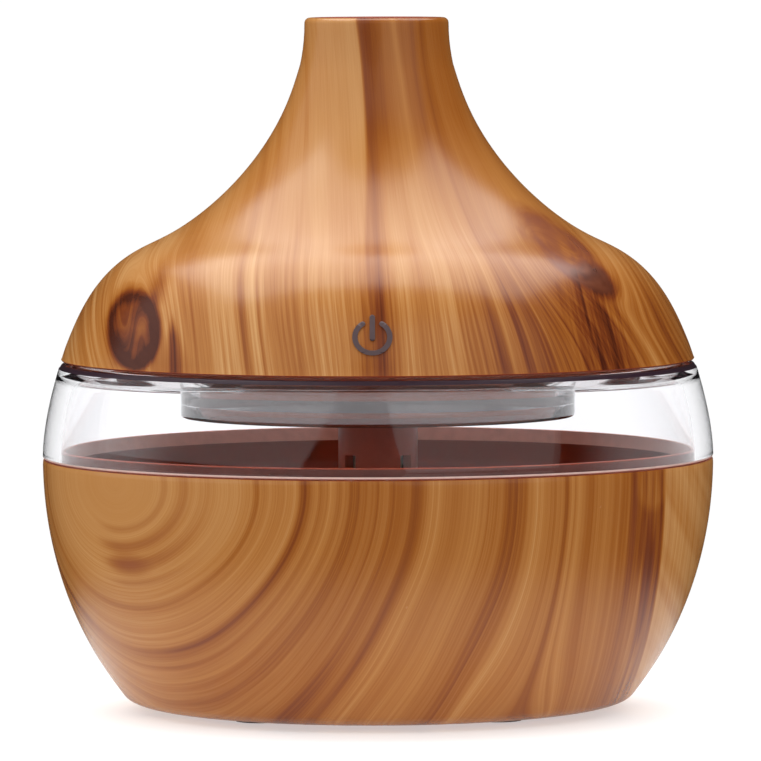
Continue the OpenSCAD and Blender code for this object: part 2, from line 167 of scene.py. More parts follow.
def radius_at(line, height):
    """The radius of a downward line at a height."""
    for (r0, z0), (r1, z1) in zip(line, line[1:]):
        if z1 <= height <= z0 and z0 > z1:
            return r0 + (r1 - r0) * (z0 - height) / (z0 - z1)
    return line[-1][0]


print("radius at the cover's lower edge, mm:", round(radius_at(cover_line, COVER_BOTTOM), 2))

# %% [markdown]
# ## Spinning a shell
# A lathe is the natural way to make round ware: draw half of the section, spin it once round the
# upright axis and close the seam. Rings of 256 steps keep the edge against the background smooth.
# Flat faces meet rounded ones at edges marked sharp, so that the shading doesn't smear over them.

# %% Lathe
SPIN_STEPS = 256
SHARP_ANGLE = math.radians(38)
MERGE = 1e-7


def finish_mesh(bm, name, smooth=True):
    """Merges doubles, turns faces outwards and stores the mesh as an object at the origin."""
    bmesh.ops.remove_doubles(bm, verts=bm.verts, dist=MERGE)
    bmesh.ops.recalc_face_normals(bm, faces=bm.faces)
    mesh = bpy.data.meshes.new(name)
    bm.to_mesh(mesh)
    bm.free()
    if smooth:
        mesh.shade_smooth()
        mesh.set_sharp_from_angle(angle=SHARP_ANGLE)
    piece = bpy.data.objects.new(name, mesh)
    bpy.context.scene.collection.objects.link(piece)
    return piece


def lathe(name, outline):
    """Spins a closed section of (radius, height) points once round the upright axis."""
    bm = bmesh.new()
    verts = [bm.verts.new((r * MM, 0, z * MM)) for r, z in outline]
    edges = [bm.edges.new(pair) for pair in zip(verts, verts[1:] + verts[:1])]
    bmesh.ops.spin(bm, geom=verts + edges, cent=(0, 0, 0), axis=(0, 0, 1),
                   angle=math.tau, steps=SPIN_STEPS, use_merge=True)
    piece = finish_mesh(bm, name)
    print(name, len(piece.data.polygons), "faces")
    return piece


# %% [markdown]
# ## Finishes as expressions
# A finish is a small calculation on the surface position. Nodes can be placed by hand, but a
# formula is easier to read, so Field wraps a socket and lets plus, minus and times add Math
# nodes. Any other node comes from one method.

# %% Field
class Field:
    """A value that varies over a surface: one output socket of a node tree."""

    def __init__(self, tree, socket):
        self.tree = tree
        self.socket = socket

    def node(self, kind, settings=None, inputs=None, out=0):
        """Adds any node: its settings first, then the values or links of its sockets."""
        made = self.tree.nodes.new(kind)
        for key, value in (settings or {}).items():
            if key == "stops":
                ramp = made.color_ramp
                while len(ramp.elements) < len(value):
                    ramp.elements.new(0.5)
                for element, (place, colour) in zip(ramp.elements, value):
                    element.position = place
                    element.color = (*colour, 1)
            else:
                setattr(made, key, value)
        for key, value in (inputs or {}).items():
            if isinstance(value, Field):
                self.tree.links.new(value.socket, made.inputs[key])
            else:
                made.inputs[key].default_value = value
        return Field(self.tree, made.outputs[out])

    def math(self, operation, *values):
        """Adds a Math node with the given inputs."""
        return self.node("ShaderNodeMath", {"operation": operation}, dict(enumerate(values)))

    def __add__(self, other):
        return self.math("ADD", self, other)

    def __sub__(self, other):
        return self.math("SUBTRACT", self, other)

    def __rsub__(self, other):
        return self.math("SUBTRACT", other, self)

    def __mul__(self, other):
        return self.math("MULTIPLY", self, other)

    def __truediv__(self, other):
        return self.math("DIVIDE", self, other)

    def __rtruediv__(self, other):
        return self.math("DIVIDE", other, self)

    def __pow__(self, power):
        return self.math("POWER", self, power)

    __radd__ = __add__
    __rmul__ = __mul__

    def rise(self, low, high):
        """0 below low, 1 above high and a smooth step between. low may be above high."""
        return self.node("ShaderNodeMapRange", {"interpolation_type": "SMOOTHSTEP"},
                         {"Value": self, "From Min": low, "From Max": high})

    def bell(self, width):
        """1 at 0, falling smoothly to nothing at a few widths."""
        return self.math("EXPONENT", self * self * (-1 / width ** 2))

    def blend(self, low, high):
        """A colour between two, by this value."""
        return self.node("ShaderNodeMix", {"data_type": "RGBA"},
                         {"Factor": self, "A": low, "B": high}, out=2)


def rgb(red, green, blue):
    """A colour as seen on a screen, 0 to 255, turned into linear light."""
    return tuple((c / 255 / 12.92 if c <= 10 else ((c / 255 + 0.055) / 1.055) ** 2.4)
                 for c in (red, green, blue)) + (1,)


# %% Surface
OBJECT_PLACE = 3  # the Object output of a Texture Coordinate node


class Surface:
    """A new material with its position fields, in mm, and its main shader."""

    def __init__(self, name, **constants):
        self.material = bpy.data.materials.new(name)
        self.material.use_nodes = True
        tree = self.material.node_tree
        self.tree = tree
        self.shader = tree.nodes["Principled BSDF"]
        self.output = tree.nodes["Material Output"]
        for key, value in constants.items():
            name = key.replace("_", " ").title().replace("Ior", "IOR")
            self.shader.inputs[name].default_value = value
        place = Field(tree, None).node("ShaderNodeTexCoord", out=OBJECT_PLACE)
        self.place = place.node("ShaderNodeVectorMath", {"operation": "SCALE"},
                                {0: place, "Scale": 1 / MM})
        self.x, self.y, self.z = (
            place.node("ShaderNodeSeparateXYZ", None, {0: self.place}, out=k) for k in range(3))

    def noise(self, place, scale, detail=2, rough=0.5):
        """Smooth noise from 0 to 1 at a position; scale is lumps per mm."""
        return place.node("ShaderNodeTexNoise", {"noise_dimensions": "3D"},
                          {"Vector": place, "Scale": scale, "Detail": detail, "Roughness": rough})

    def at(self, x, y, z):
        """A position put together from three fields."""
        return self.x.node("ShaderNodeCombineXYZ", None, {0: x, 1: y, 2: z})

    def set(self, **links):
        """Links fields to the main shader, by the sockets' names."""
        for key, field in links.items():
            name = key.replace("_", " ").title()
            self.tree.links.new(field.socket, self.shader.inputs[name])
        return self

    def let_through(self, factor, other):
        """Mixes the main shader with another one and sends the mix to the output."""
        mixed = self.x.node("ShaderNodeMixShader", None,
                            {0: factor, 1: Field(self.tree, self.shader.outputs[0]), 2: other})
        self.tree.links.new(mixed.socket, self.output.inputs["Surface"])
        return self.material

    def bump(self, height, strength, distance):
        """Dents the shading by a height field; distance is in mm."""
        dents = {"Height": height, "Strength": strength, "Distance": distance * MM}
        return self.set(normal=height.node("ShaderNodeBump", None, dents))


# %% [markdown]
# ## The wood-grain film
# The real shell is plastic under a printed film, so the finish has no pores: it is a smooth satin
# skin with a picture of flat-sawn pine. A picture file could be wrapped on, but a formula works
# on every side and at any size. The idea: one field says which growth layer a point lies in, and
# every line, streak and tint is a function of that layer. Knots push the layers aside.

# %% Film colours
FILM_STOPS = tuple((place, rgb(*colour)[:3]) for place, colour in (
    (0.0, (228, 182, 130)), (0.25, (202, 150, 92)), (0.45, (177, 115, 53)),
    (0.62, (154, 87, 25)), (0.8, (120, 54, 13)), (1.0, (76, 28, 8))))
RED_WOOD = rgb(146, 84, 56)
SATIN, SATIN_CLOUD = 0.21, 0.08
FILM_R = 52


def film_colour(dark):
    """The printed tan to dark brown scale, from a darkness of 0 to 1."""
    return dark.node("ShaderNodeValToRGB", {"stops": FILM_STOPS}, {"Fac": dark})


def satin(s, colour):
    """The film's smooth skin over its printed colour, a little uneven in gloss."""
    cloud = s.noise(s.place, 0.4, 2)
    return s.set(base_color=colour, roughness=cloud * SATIN_CLOUD + SATIN).material


print("film shades:", len(FILM_STOPS))

# %% Plain grain
def lines(place, spacing):
    """Growth lines of 0 to 1: each darkens slowly across its spacing and ends at a crisp edge."""
    ring = (place * (1 / spacing)).math("FRACT")
    return ring.rise(0.3, 0.86) * ring.rise(1.0, 0.9)


def grain(s, layer, along, side, spacing):
    """Darkness of straight grain around 0: wide bands, growth lines and fibres along the wood."""
    bands = s.noise(s.at(layer * 0.2, along * 0.006, side), 1, 1)
    pace = s.noise(s.at(layer * 0.09, along * 0.004, side + 4), 1, 1) * 9
    coarse = lines(layer + pace, spacing)
    fine = lines(layer + pace * 0.7, spacing * 0.47)
    power = s.noise(s.at(layer * 0.3, along * 0.012, side + 9), 1, 1).rise(0.34, 0.64)
    weak = s.noise(s.at(layer * 0.45, along * 0.02, side + 17), 1, 1).rise(0.4, 0.65)
    threads = s.noise(s.at(layer * 1.7, along * 0.02, side + 11), 1, 2)
    fibre = s.noise(s.at(layer * 5, along * 0.12, side + 13), 1, 2)
    marked = ((coarse - 0.36) * (power * 0.56 + 0.08) + (fine - 0.36) * (weak * 0.3 + 0.09)
              + (threads - 0.5) * 0.4)
    return (bands - 0.5) * 0.45, marked, (fibre - 0.5) * 0.22


def streaks(layer, marks):
    """Adds up smooth streaks, each given as its layer, half width and darkness."""
    total = None
    for place, width, power in marks:
        one = (layer - place).bell(width) * power
        total = one if total is None else total + one
    return total


def above(field, limit):
    """How far a field is above a limit, and 0 below it."""
    return field.math("MAXIMUM", field - limit, 0.0)


# %% [markdown]
# On the cover the print was stretched down the neck, so its lines fan out: across is the sideways
# place with that fan taken out. The two knots are oval swirls. Round the right one the lines part,
# which is done by pushing the layer field away from the knot's long axis.

# %% Film of the cover
COVER_LINES = 1.3
RIGHT_KNOT_X, RIGHT_KNOT_Z = 29.4, 76.6
RIGHT_KNOT_TILT = math.radians(-39.6)
LEFT_KNOT_X, LEFT_KNOT_Z = -39.1, 63.9
STREAKS = ((1.4, 1.5, 0.2), (-20.3, 0.8, 0.2), (-17.6, 0.5, 0.14), (-12.0, 0.5, 0.1),
           (12.5, 2.2, -0.1), (20.5, 1.3, 0.16), (24.5, 0.8, 0.16))


def cover_film():
    """The print of the cover: straight grain with a streak from the neck and two knots."""
    s = Surface("cover_wood_film")
    radius = (s.x * s.x + s.y * s.y) ** 0.5
    fan = (radius / FILM_R) ** 0.5
    across = s.x / fan
    side = s.y * 0.02
    front = s.y.rise(8, -6)
    lean = across.math("ABSOLUTE", across) * 0.0072 + 0.07
    straight = across + (s.z - 58) * lean
    # the right knot, in its own slanted axes
    right_x, right_z = s.x - RIGHT_KNOT_X, s.z - RIGHT_KNOT_Z
    along, athwart = math.cos(RIGHT_KNOT_TILT), -math.sin(RIGHT_KNOT_TILT)
    long_way = right_x * along - right_z * athwart
    cross_way = right_x * athwart + right_z * along
    far = (long_way / 12) ** 2 + (cross_way / 7.5) ** 2
    push = cross_way / ((cross_way * cross_way + 5) ** 0.5) * far.math("EXPONENT", far * -1) * front
    # the left knot
    left_x, left_z = s.x - LEFT_KNOT_X, s.z - LEFT_KNOT_Z
    left_far = (left_x / 7) ** 2 + (left_z / 10) ** 2
    left_near = left_far.math("EXPONENT", left_far * -1)
    push_left = left_x / ((left_x * left_x + 3) ** 0.5) * left_near * front
    warp = s.noise(s.at(across * 0.035, side, s.z * 0.02), 1, 1)
    layer = straight - push * 7 - push_left * 4 + (warp - 0.5) * 5
    bands, marked, fibre = grain(s, layer, s.z, side, COVER_LINES)
    crisp = s.z.rise(86, 68) * 0.85 + 0.15
    low = s.z.rise(76, 66)
    dark = (bands + fibre) * (crisp * 0.6 + 0.4) + marked * (crisp + low * 0.35) + 0.4
    dark = dark + low * 0.08 + low * (across + 4).rise(0, 8) * 0.06 * front
    # the streak that runs down from the neck, with a straight edge on its left
    height = above(s.z, 84.0)
    edge = across + height * height * 0.0053 + 2.5
    neck = s.z.rise(80, 100)
    core = edge.rise(-0.5, 0.6) * front
    dark = dark + core * (edge.rise(10, 4) * 0.12 + 0.2) * neck
    dark = dark + core * edge.rise(6, 2) * 0.12 * s.z.rise(100, 82)
    dark = dark - (edge + 9).bell(8) * s.z.rise(80, 92) * 0.06 * front
    dark = dark + (edge + 22).bell(7) * neck * 0.05
    dark = dark - (edge - 12.5).bell(1.1) * neck * 0.1 * front
    dark = dark + streaks(straight, STREAKS) * front * (low * 0.6 + 0.4)
    dark = dark + (across - 10).rise(0, 12) * front * s.z.rise(92, 66) * 0.14
    # torn dark grain that trails below the right knot
    slant = s.x - (70 - s.z) * 0.24
    trail = (slant - 33.98).bell(4.4) * s.z.rise(75, 71) * front
    torn = s.noise(s.at(slant * 0.75, s.z * 0.03, 3), 1, 1).rise(0.46, 0.62)
    shreds = s.noise(s.at(slant * 2.2, s.z * 0.04, 33), 1, 2)
    dark = dark + trail * (torn * 0.2 + (shreds - 0.42) * 0.6 + 0.02)
    crowd = (straight - 29.5).bell(4.2) * s.z.rise(94, 86) * front
    dark = dark + crowd * (lines(layer, 1.25) - 0.25) * (s.z.rise(57, 70) * 0.2 + 0.3)
    # swirls of the right knot
    oval = ((long_way / 9.6) ** 2 + (cross_way / 2.6) ** 2) ** 0.5
    swirl = s.noise(s.at(oval * 2, long_way * 0.14, cross_way * 0.3), 1, 2)
    coil = lines(oval * 2.2 + swirl * 1.1, 1)
    around = oval.rise(4.2, 1.4) * long_way.rise(9, -2) * front
    dark = dark + (coil - 0.25) * around * 0.44
    body = oval.rise(1.25, 0.75) * front
    dark = dark + body * (0.1 + (swirl - 0.5) * 0.9 + long_way.rise(-5, 8) * 0.14)
    end = (((long_way - 8) / 3.6) ** 2 + ((cross_way + 0.2) / 1.9) ** 2) ** 0.5
    dark = dark + end.rise(1.4, 0.2) * front * 0.4
    # swirls of the left knot
    oval_left = ((left_x / 4.0) ** 2 + (left_z / 5.6) ** 2) ** 0.5
    curl = s.noise(s.at(left_x * 0.3, left_z * 0.22, 6), 1, 3)
    turns = lines(oval_left * 2.6 + curl * 3.4, 1)
    inner = oval_left.rise(1.25, 0.9) * front
    shade = 0.36 + (turns - 0.4) * 0.42 + (curl - 0.5) * 0.4
    shade = shade + left_x.rise(-1, 4) * 0.12 + left_z.rise(1, -5) * 0.14
    dark = dark + inner * shade
    ragged = oval_left + (curl - 0.5) * 0.4
    dark = dark + (ragged - 0.98).bell(0.22) * front * 0.3
    up = (left_x - 2.4 - left_z * 0.24).bell(1.3) * left_z.rise(2, 6) * left_z.rise(14, 7)
    spike_wide = s.z.rise(67, 58) * 1.2 + 0.5
    spike = ((s.x + 32.3 + (s.z - 60) * 0.06) / spike_wide).bell(0.9) * s.z.rise(67.5, 63)
    dark = dark + (up * 0.3 + spike * 0.46) * front
    reddish = (body * 0.7 + inner * 0.05) * swirl.rise(0.2, 0.8)
    return satin(s, reddish.blend(film_colour(dark), RED_WOOD))


# %% [markdown]
# On the bowl the print shows flat-sawn wood: oval growth rings round a centre low on the left that
# straighten into near-upright lines on the right. The ring number is an oval distance whose
# height-to-width ratio relaxes outwards, and every streak sits at a ring number.

# %% Film of the bowl
BOWL_LINES = 1.7
RING_CENTRE_ANGLE = math.radians(50)
RING_CENTRE_Z = 40
BOUNDARY = 91.3
RING_MARKS = (
    (26.8, 0.45, 0.14), (31.0, 0.3, 0.06), (34.2, 1.0, 0.22), (36.6, 0.4, 0.12),
    (39.4, 0.4, 0.1), (42.0, 0.5, 0.08), (48.6, 2.2, 0.22), (51.4, 1.0, 0.14),
    (45.6, 0.6, 0.12), (66.3, 1.8, 0.2), (59.0, 1.6, -0.1), (61.8, 0.9, -0.08),
    (79.6, 1.2, 0.2), (75.5, 0.5, 0.14), (71.0, 1.4, -0.08), (84.5, 0.5, 0.1))
FAN_MARKS = ((18.6, 1.5, 0.9), (14.6, 1.2, 1.0), (22.3, 0.8, 0.5), (10.8, 0.8, 0.5))


def bowl_film():
    """The print of the bowl: rings round a centre at the left that straighten to the right."""
    s = Surface("bowl_wood_film")
    radius = (s.x * s.x + s.y * s.y) ** 0.5
    angle = s.x.math("ARCTAN2", s.x, s.y * -1)
    turned = (angle + RING_CENTRE_ANGLE) / math.tau
    turned = (turned - turned.math("ROUND", turned)) * (math.tau * FILM_R)
    drop = s.z - RING_CENTRE_Z
    reach = (turned * turned + drop * drop * 1.6) ** 0.5
    ratio = 1.2 / ((reach / 42) ** 3 + 1) + 0.8
    rings = (turned * turned + drop * drop * ratio) ** 0.5
    upright = s.x / ((radius / FILM_R) ** 0.5) + 46.5
    front = s.y.rise(6, -10)
    straight = turned.rise(60, 84) * front
    layer = rings + (upright - rings) * straight
    warp = s.noise(s.at(turned * 0.03, s.z * 0.03, 5), 1, 1)
    loose = layer + (warp - 0.5) * 2.5
    side = angle * 0.4
    bands, marked, fibre = grain(s, loose, turned * 0.5, side, BOWL_LINES)
    centre = layer.rise(14, 44)
    young = layer.rise(3, 20)
    lined = (marked * (centre * 0.72 + 0.12) + fibre) * (young * 0.8 + 0.2)
    dark = bands * (centre * 0.35 + 0.25) + lined + centre * 0.2 + 0.36
    dark = dark - turned.rise(16, -6) * centre * 0.08
    patchy = s.noise(s.at(loose * 0.25, turned * 0.03, 21), 1, 1).rise(0.3, 0.65)
    marks = streaks(loose, RING_MARKS)
    dark = dark + marks * (patchy * 0.6 + 0.45) * front
    # the reddish fan near the centre, split in three
    fan = turned.rise(-7, 0) * turned.rise(24, 6) * front
    split = streaks(layer, FAN_MARKS)
    foot = (((turned - 1.5) / 5.5) ** 2 + ((s.z - 26.8) / 2.3) ** 2) ** 0.5
    threads = s.noise(s.at(layer * 0.7, turned * 0.05, 2), 1, 1)
    mask = fan * split * (threads * 0.5 + 0.6) + foot.rise(1.2, 0.1) * front * 0.7
    dark = dark + mask * 0.17
    # the right knot and its streak, cut off by a straight boundary
    knot_x, knot_z = upright - 89.4, s.z - 39.4
    streak = (knot_x + 0.8 + knot_z * 0.02).bell(3.2) * front
    torn = s.noise(s.at(knot_x * 0.8, s.z * 0.03, 8), 1, 1)
    shreds = s.noise(s.at(knot_x * 2.1, s.z * 0.05, 28), 1, 2)
    rags = torn.rise(0.36, 0.62) * (s.z.rise(2, 30) * 0.12 + 0.16)
    dark = dark + streak * (rags + (shreds - 0.42) * 0.5 + 0.02)
    dark = dark + (upright - BOUNDARY + 0.4).bell(0.35) * s.z.rise(6, 24) * 0.14 * front
    oval = (((knot_x + 0.1) / 1.5) ** 2 + (knot_z / 2.6) ** 2) ** 0.5
    dark = dark + oval.rise(2.1, 1.2) * (lines(oval * 1.8 + 0.3, 1) * 0.5 - 0.26) * front
    beyond = (upright - BOUNDARY).rise(-0.1, 0.25) * front
    slant = s.noise(s.at(s.x * 0.5 + s.z * 0.22, s.z * 0.02, 30), 1, 1)
    calm = 0.38 + (slant - 0.5) * 0.22 + fibre
    dark = dark + (calm - dark) * beyond
    reddish = mask * 0.45 + streak * torn.rise(0.4, 0.7) * 0.3
    return satin(s, reddish.blend(film_colour(dark), RED_WOOD))


# %% [markdown]
# ## Cover and bowl
# Both are closed walls: the outside carries the film, and the inside is bare dark brown plastic.

# %% Plain finishes
def moulded(name, colour, roughness, speckle=0.12, scale=0.6):
    """Moulded plastic or rubber: slight clouding in colour and roughness and a faint texture."""
    s = Surface(name)
    cloud = s.noise(s.place, scale, 3)
    dark = tuple(c * (1 - speckle) for c in colour[:3]) + (1,)
    s.set(base_color=cloud.rise(0.3, 0.7).blend(dark, colour))
    s.set(roughness=cloud * 0.1 + (roughness - 0.05))
    return s.bump(s.noise(s.place, 3, 2), 0.12, 0.02).material


brown_plastic = moulded("moulded_brown", rgb(150, 58, 26), 0.4)
# painted light: a paler brown for the lip's inner face, lit through the window
painted_light_rim_plastic = moulded("painted_light_rim", rgb(214, 146, 126), 0.4)
# painted shade: a darker brown for the lip's outer face, just inside the window wall
painted_shade_plastic = moulded("painted_shade_brown", rgb(88, 38, 26), 0.5)
tan_plastic = moulded("moulded_tan", rgb(176, 122, 78), 0.4)
print("plain plastics: brown, pale rim, shaded brown, tan")

# %% Sections of the two shells
def cover_shell():
    """The cover: its outside line, a rounded lower edge and the same line set in by the wall."""
    wall = 2
    inner = [p for p in inside(cover_line[6:], wall) if p[1] > COVER_BOTTOM + 0.4]
    outer = [p for p in cover_line if p[1] > COVER_BOTTOM + 0.45]
    bottom_r = radius_at(cover_line, COVER_BOTTOM)
    throat = NECK_R - wall
    outline = (outer + [(bottom_r - 0.03, COVER_BOTTOM + 0.25), (bottom_r - 0.14, COVER_BOTTOM + 0.09),
                        (bottom_r - 0.4, COVER_BOTTOM), (bottom_r - wall, COVER_BOTTOM)]
               + inner[::-1] + [(throat, BODY_H - 0.5), (throat + 0.15, BODY_H - 0.15), (throat + 0.5, BODY_H)])
    return lathe("cover", outline)


def bowl_shell():
    """The bowl with its flat inner floor and the thin lip that centres the window ring."""
    wall = 2.2
    floor = FOOT + 2.4
    lip_r, lip_top = BODY_R - 3.1, RIM + 1.6
    outer = [p for p in bowl_line if p[1] < RIM - 0.6]
    inner = [(r, max(z, floor)) for r, z in inside(bowl_line, wall) if z < RIM - 3.4]
    outline = ([(BODY_R - 0.5, RIM - 0.1), (BODY_R - 0.18, RIM - 0.2), (BODY_R - 0.05, RIM - 0.4)]
               + outer + [(0, FOOT), (0, floor)] + inner[::-1]
               + [(lip_r - 1.2, RIM - 0.6), (lip_r - 0.62, lip_top - 0.08), (lip_r - 0.5, lip_top),
                  (lip_r - 0.15, lip_top), (lip_r, lip_top - 0.15), (lip_r, RIM - 0.1)])
    return lathe("bowl", outline)


# %% Two finishes on one shell
def two_sided(piece, outside, inner, is_inside):
    """Gives the faces that a test picks the second finish."""
    piece.data.materials.append(outside)
    piece.data.materials.append(inner)
    for face in piece.data.polygons:
        face.material_index = 1 if is_inside(face) else 0


def faces_axis(face):
    """True on the inner wall, whose faces look towards the axis."""
    c, n = face.center, face.normal
    return c.x * n.x + c.y * n.y < -0.15 * math.hypot(c.x, c.y)


# %% [markdown]
# ## Holes
# The lead's plug goes in through a round-ended hole at the back, and the feet sit in four shallow
# recesses. Each is a rod taken away by a Boolean modifier, which is applied at once, so that the
# finished mesh has true walls there.

# %% Cutting tools
def drill(piece, bm):
    """Cuts the closed shape in a bmesh out of a piece; the walls of the cut are bare plastic."""
    for face in bm.faces:
        face.material_index = 1
    cutter = finish_mesh(bm, "cutter", smooth=False)
    cut = piece.modifiers.new("cut", "BOOLEAN")
    cut.operation = "DIFFERENCE"
    cut.solver = "EXACT"
    cut.object = cutter
    ready = piece.evaluated_get(bpy.context.evaluated_depsgraph_get())
    piece.data = bpy.data.meshes.new_from_object(ready)
    piece.modifiers.clear()
    piece.data.set_sharp_from_angle(angle=SHARP_ANGLE)
    bpy.data.objects.remove(cutter)
    print(piece.name, len(piece.data.polygons), "faces after the cut")


def rod(bm, radius, stretch, centre, length, turn=0):
    """Adds an upright rod, drawn out sideways by stretch at each side and turned about x."""
    made = bmesh.ops.create_circle(bm, cap_ends=True, segments=64, radius=radius * MM)["verts"]
    for vert in made:
        vert.co.x += math.copysign(stretch * MM, vert.co.x) if stretch else 0
    faces = list({face for vert in made for face in vert.link_faces})
    grown = bmesh.ops.extrude_face_region(bm, geom=faces)["geom"]
    top = [part for part in grown if isinstance(part, bmesh.types.BMVert)]
    bmesh.ops.translate(bm, verts=top, vec=(0, 0, length * MM))
    both = made + top
    bmesh.ops.rotate(bm, verts=both, cent=(0, 0, 0), matrix=Matrix.Rotation(turn, 3, "X"))
    bmesh.ops.translate(bm, verts=both, vec=[c * MM for c in centre])


# %% Cover
PORT_Z = 64.7
PORT_R, PORT_STRETCH = 3.4, 3
PORT_START = PORT_LENGTH = 30
cover = cover_shell()
two_sided(cover, cover_film(), brown_plastic,
          lambda f: faces_axis(f) or f.center.z < (COVER_BOTTOM + 0.2) * MM)
port = bmesh.new()
rod(port, PORT_R, PORT_STRETCH, (0, PORT_START, PORT_Z), PORT_LENGTH, math.radians(-90))
drill(cover, port)
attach(cover, "head")
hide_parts("upper_cover")

# %% Bowl
bowl = bowl_shell()
two_sided(bowl, bowl_film(), brown_plastic,
          lambda f: (faces_axis(f) or f.center.z > (RIM - 0.16) * MM
                     or f.normal.z > 0.9 or f.center.z < (FOOT + 0.01) * MM))
bowl.data.materials.append(painted_light_rim_plastic)
bowl.data.materials.append(painted_shade_plastic)
for face in bowl.data.polygons:
    # the lip's inner face gets the paler brown, painted light
    if face.center.z > (RIM - 0.7) * MM and faces_axis(face):
        face.material_index = 2
    # the lip's outer face gets the darker brown, painted shade
    elif face.center.z > RIM * MM and face.normal.z < 0.5:
        face.material_index = 3
FOOT_CIRCLE, RECESS_R, RECESS_TOP = 27, 4.7, 1.5
recesses = bmesh.new()
for x, y in [ahead((0, 0), 45 + 90 * k, FOOT_CIRCLE) for k in range(4)]:
    rod(recesses, RECESS_R, 0, (x, y, -1), RECESS_TOP + 1)
drill(bowl, recesses)
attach(bowl, "tank")
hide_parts("lower_bowl")

# %% [markdown]
# ## The window ring
# Clear plastic shows its own thickness, so the piece is a real closed wall with the flange on
# which the head rests and the neck ring that hangs inside. Light passes it in two ways: it bends
# as in glass, and rays that only look for lamps go straight through so that the tank isn't black.
# The neck ring reflects more than the outer wall, so its own finish has a higher index. The top
# edge wears painted shade, an opaque dark finish for the head's shadow on the rim, and a pale
# line painted where the ring stands on the bowl is a painted highlight for the lamps' glint there.

# %% Window ring
def clear_plastic(name, ior):
    """Clear plastic that bends light and lets the lamps' own rays straight through."""
    s = Surface(name, ior=ior, transmission_weight=1.0)
    s.shader.inputs["Base Color"].default_value = rgb(250, 250, 252)
    cloud = s.noise(s.place, 0.25, 2)
    s.set(roughness=cloud * 0.02 + 0.005)
    shadow_ray = s.x.node("ShaderNodeLightPath", out="Is Shadow Ray")
    open_way = s.x.node("ShaderNodeBsdfTransparent", None, {"Color": rgb(236, 238, 242)})
    return s.let_through(shadow_ray, open_way)


def window_shell():
    """The ring's section, with the flange, the neck ring and the groove of its seal."""
    wall = 3
    flange = WINDOW_TOP - 1.2
    throat_r, bore_r, throat_low = 32.3, 29.9, 48.2
    seal_low, seal_high, groove_r = 50.55, 52.85, 30.9
    outer = [p for p in window_line if RIM + 0.6 < p[1] < WINDOW_TOP - 0.6]
    inner = [p for p in inside(window_line, wall) if RIM + 0.5 < p[1] < flange - 1.4]
    shelf_r = radius_at(window_line, flange) - wall
    outline = (
        arc((SEAM[0] - 0.62, WINDOW_TOP - 0.6), 0.6, 90, 15, 4) + outer
        + [(BODY_R, RIM + 0.4), (BODY_R - 0.1, RIM + 0.12), (BODY_R - 0.4, RIM),
           (BODY_R - wall + 0.1, RIM), (BODY_R - wall, RIM + 0.1)]
        + inner[::-1]
        + [(shelf_r - 0.15, flange - 0.8), (shelf_r - 0.4, flange - 0.3), (shelf_r - 0.9, flange),
           (throat_r + 0.5, flange), (throat_r + 0.15, flange - 0.15), (throat_r, flange - 0.5)]
        + [(throat_r, throat_low + 0.6)] + arc((throat_r - 0.5, throat_low + 0.5), 0.5, -20, -90, 4)
        + [(bore_r + 0.4, throat_low), (bore_r + 0.1, throat_low + 0.1), (bore_r, throat_low + 0.4),
           (bore_r, seal_low), (groove_r, seal_low), (groove_r, seal_high), (bore_r, seal_high),
           (bore_r, WINDOW_TOP - 0.6), (bore_r + 0.15, WINDOW_TOP - 0.15), (bore_r + 0.6, WINDOW_TOP)])
    return lathe("window_ring", outline)


# %% Window ring in place
SHADE_HIGH, SHADE_REACH = 1.1, 48
SEAM_HIGHLIGHT_HIGH, SEAM_HIGHLIGHT_DEEP = 0.42, 0.45
NECK_RING_R, NECK_RING_CLEAR = 33, 1.6

window = window_shell()
window.data.materials.append(clear_plastic("clear_plastic", 1.5))
# painted shade: an opaque dark finish on the clear ring's top edge, for the head's shadow on the rim
window.data.materials.append(moulded("painted_seam_shade", rgb(56, 36, 48), 0.3))
# painted highlight: a pale line along the ring's lower edge where it stands on the bowl
window.data.materials.append(moulded("painted_seam_highlight", rgb(222, 186, 176), 0.4))
window.data.materials.append(clear_plastic("clear_neck_ring", 2.0))
for face in window.data.polygons:
    reach = math.hypot(face.center.x, face.center.y) / MM
    height = face.center.z / MM
    if height > WINDOW_TOP - SHADE_HIGH and reach > SHADE_REACH:
        face.material_index = 1
    elif height < RIM + SEAM_HIGHLIGHT_HIGH and reach > BODY_R - SEAM_HIGHLIGHT_DEEP:
        face.material_index = 2
    elif reach < NECK_RING_R and height < WINDOW_TOP - NECK_RING_CLEAR:
        face.material_index = 3
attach(window, "tank")
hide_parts("tank_window")

# %% [markdown]
# ## The remaining pieces
# The pieces of the frame that already have the right shape stay and only get a finish.

# %% Finishes for the frame's own pieces
def metal(name, colour, roughness):
    """Plain metal with a faint brushed grain."""
    s = Surface(name, metallic=1.0)
    brushed = s.noise(s.at(s.x * 0.4, s.y * 0.4, s.z * 6), 1, 2)
    dark = tuple(c * 0.8 for c in colour[:3]) + (1,)
    bright = brushed.rise(0.3, 0.7).blend(dark, colour)
    return s.set(base_color=bright, roughness=brushed * 0.15 + roughness).material


